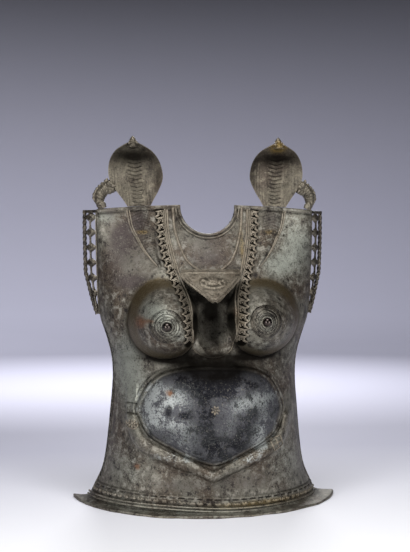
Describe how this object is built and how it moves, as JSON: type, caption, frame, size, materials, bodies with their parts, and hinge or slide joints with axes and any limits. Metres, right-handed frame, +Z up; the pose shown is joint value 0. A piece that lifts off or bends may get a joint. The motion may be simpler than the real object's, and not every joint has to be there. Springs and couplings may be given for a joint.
{
  "type": "ceremonial breastplate",
  "caption": "Cast bronze ceremonial breastplate in the form of a torso, open behind, with cobra hoods on the shoulders, pierced armhole lattices, scroll bands and a flared foot flange.",
  "frame": {"origin": "middle of the bounding box at the floor, under the foot flange", "axes": "+Z up, -Y out of the chest toward the viewer, +X to the viewer's right"},
  "size_m": [0.517, 0.2536, 0.699],
  "materials": {
    "patinated_bronze": "matt cast bronze with grey-green and brown patina",
    "pale_bronze": "rubbed cast bronze, paler on the high relief, dark in the recesses",
    "hood_bronze": "brown-gold cast bronze with dark recesses",
    "dark_bronze": "dark brown cast bronze, satin"
  },
  "bodies": {
    "root": {"torso_plate": "patinated_bronze", "pendant_shield": "pale_bronze", "cobra_hood_left": "hood_bronze", "bracket_beast_left": "hood_bronze", "armhole_lattice_left": "dark_bronze", "scroll_band_left": "pale_bronze", "nipple_boss_left": "dark_bronze", "cobra_hood_right": "hood_bronze", "bracket_beast_right": "hood_bronze", "armhole_lattice_right": "dark_bronze", "scroll_band_right": "pale_bronze", "nipple_boss_right": "dark_bronze"}
  },
  "joints": []
}
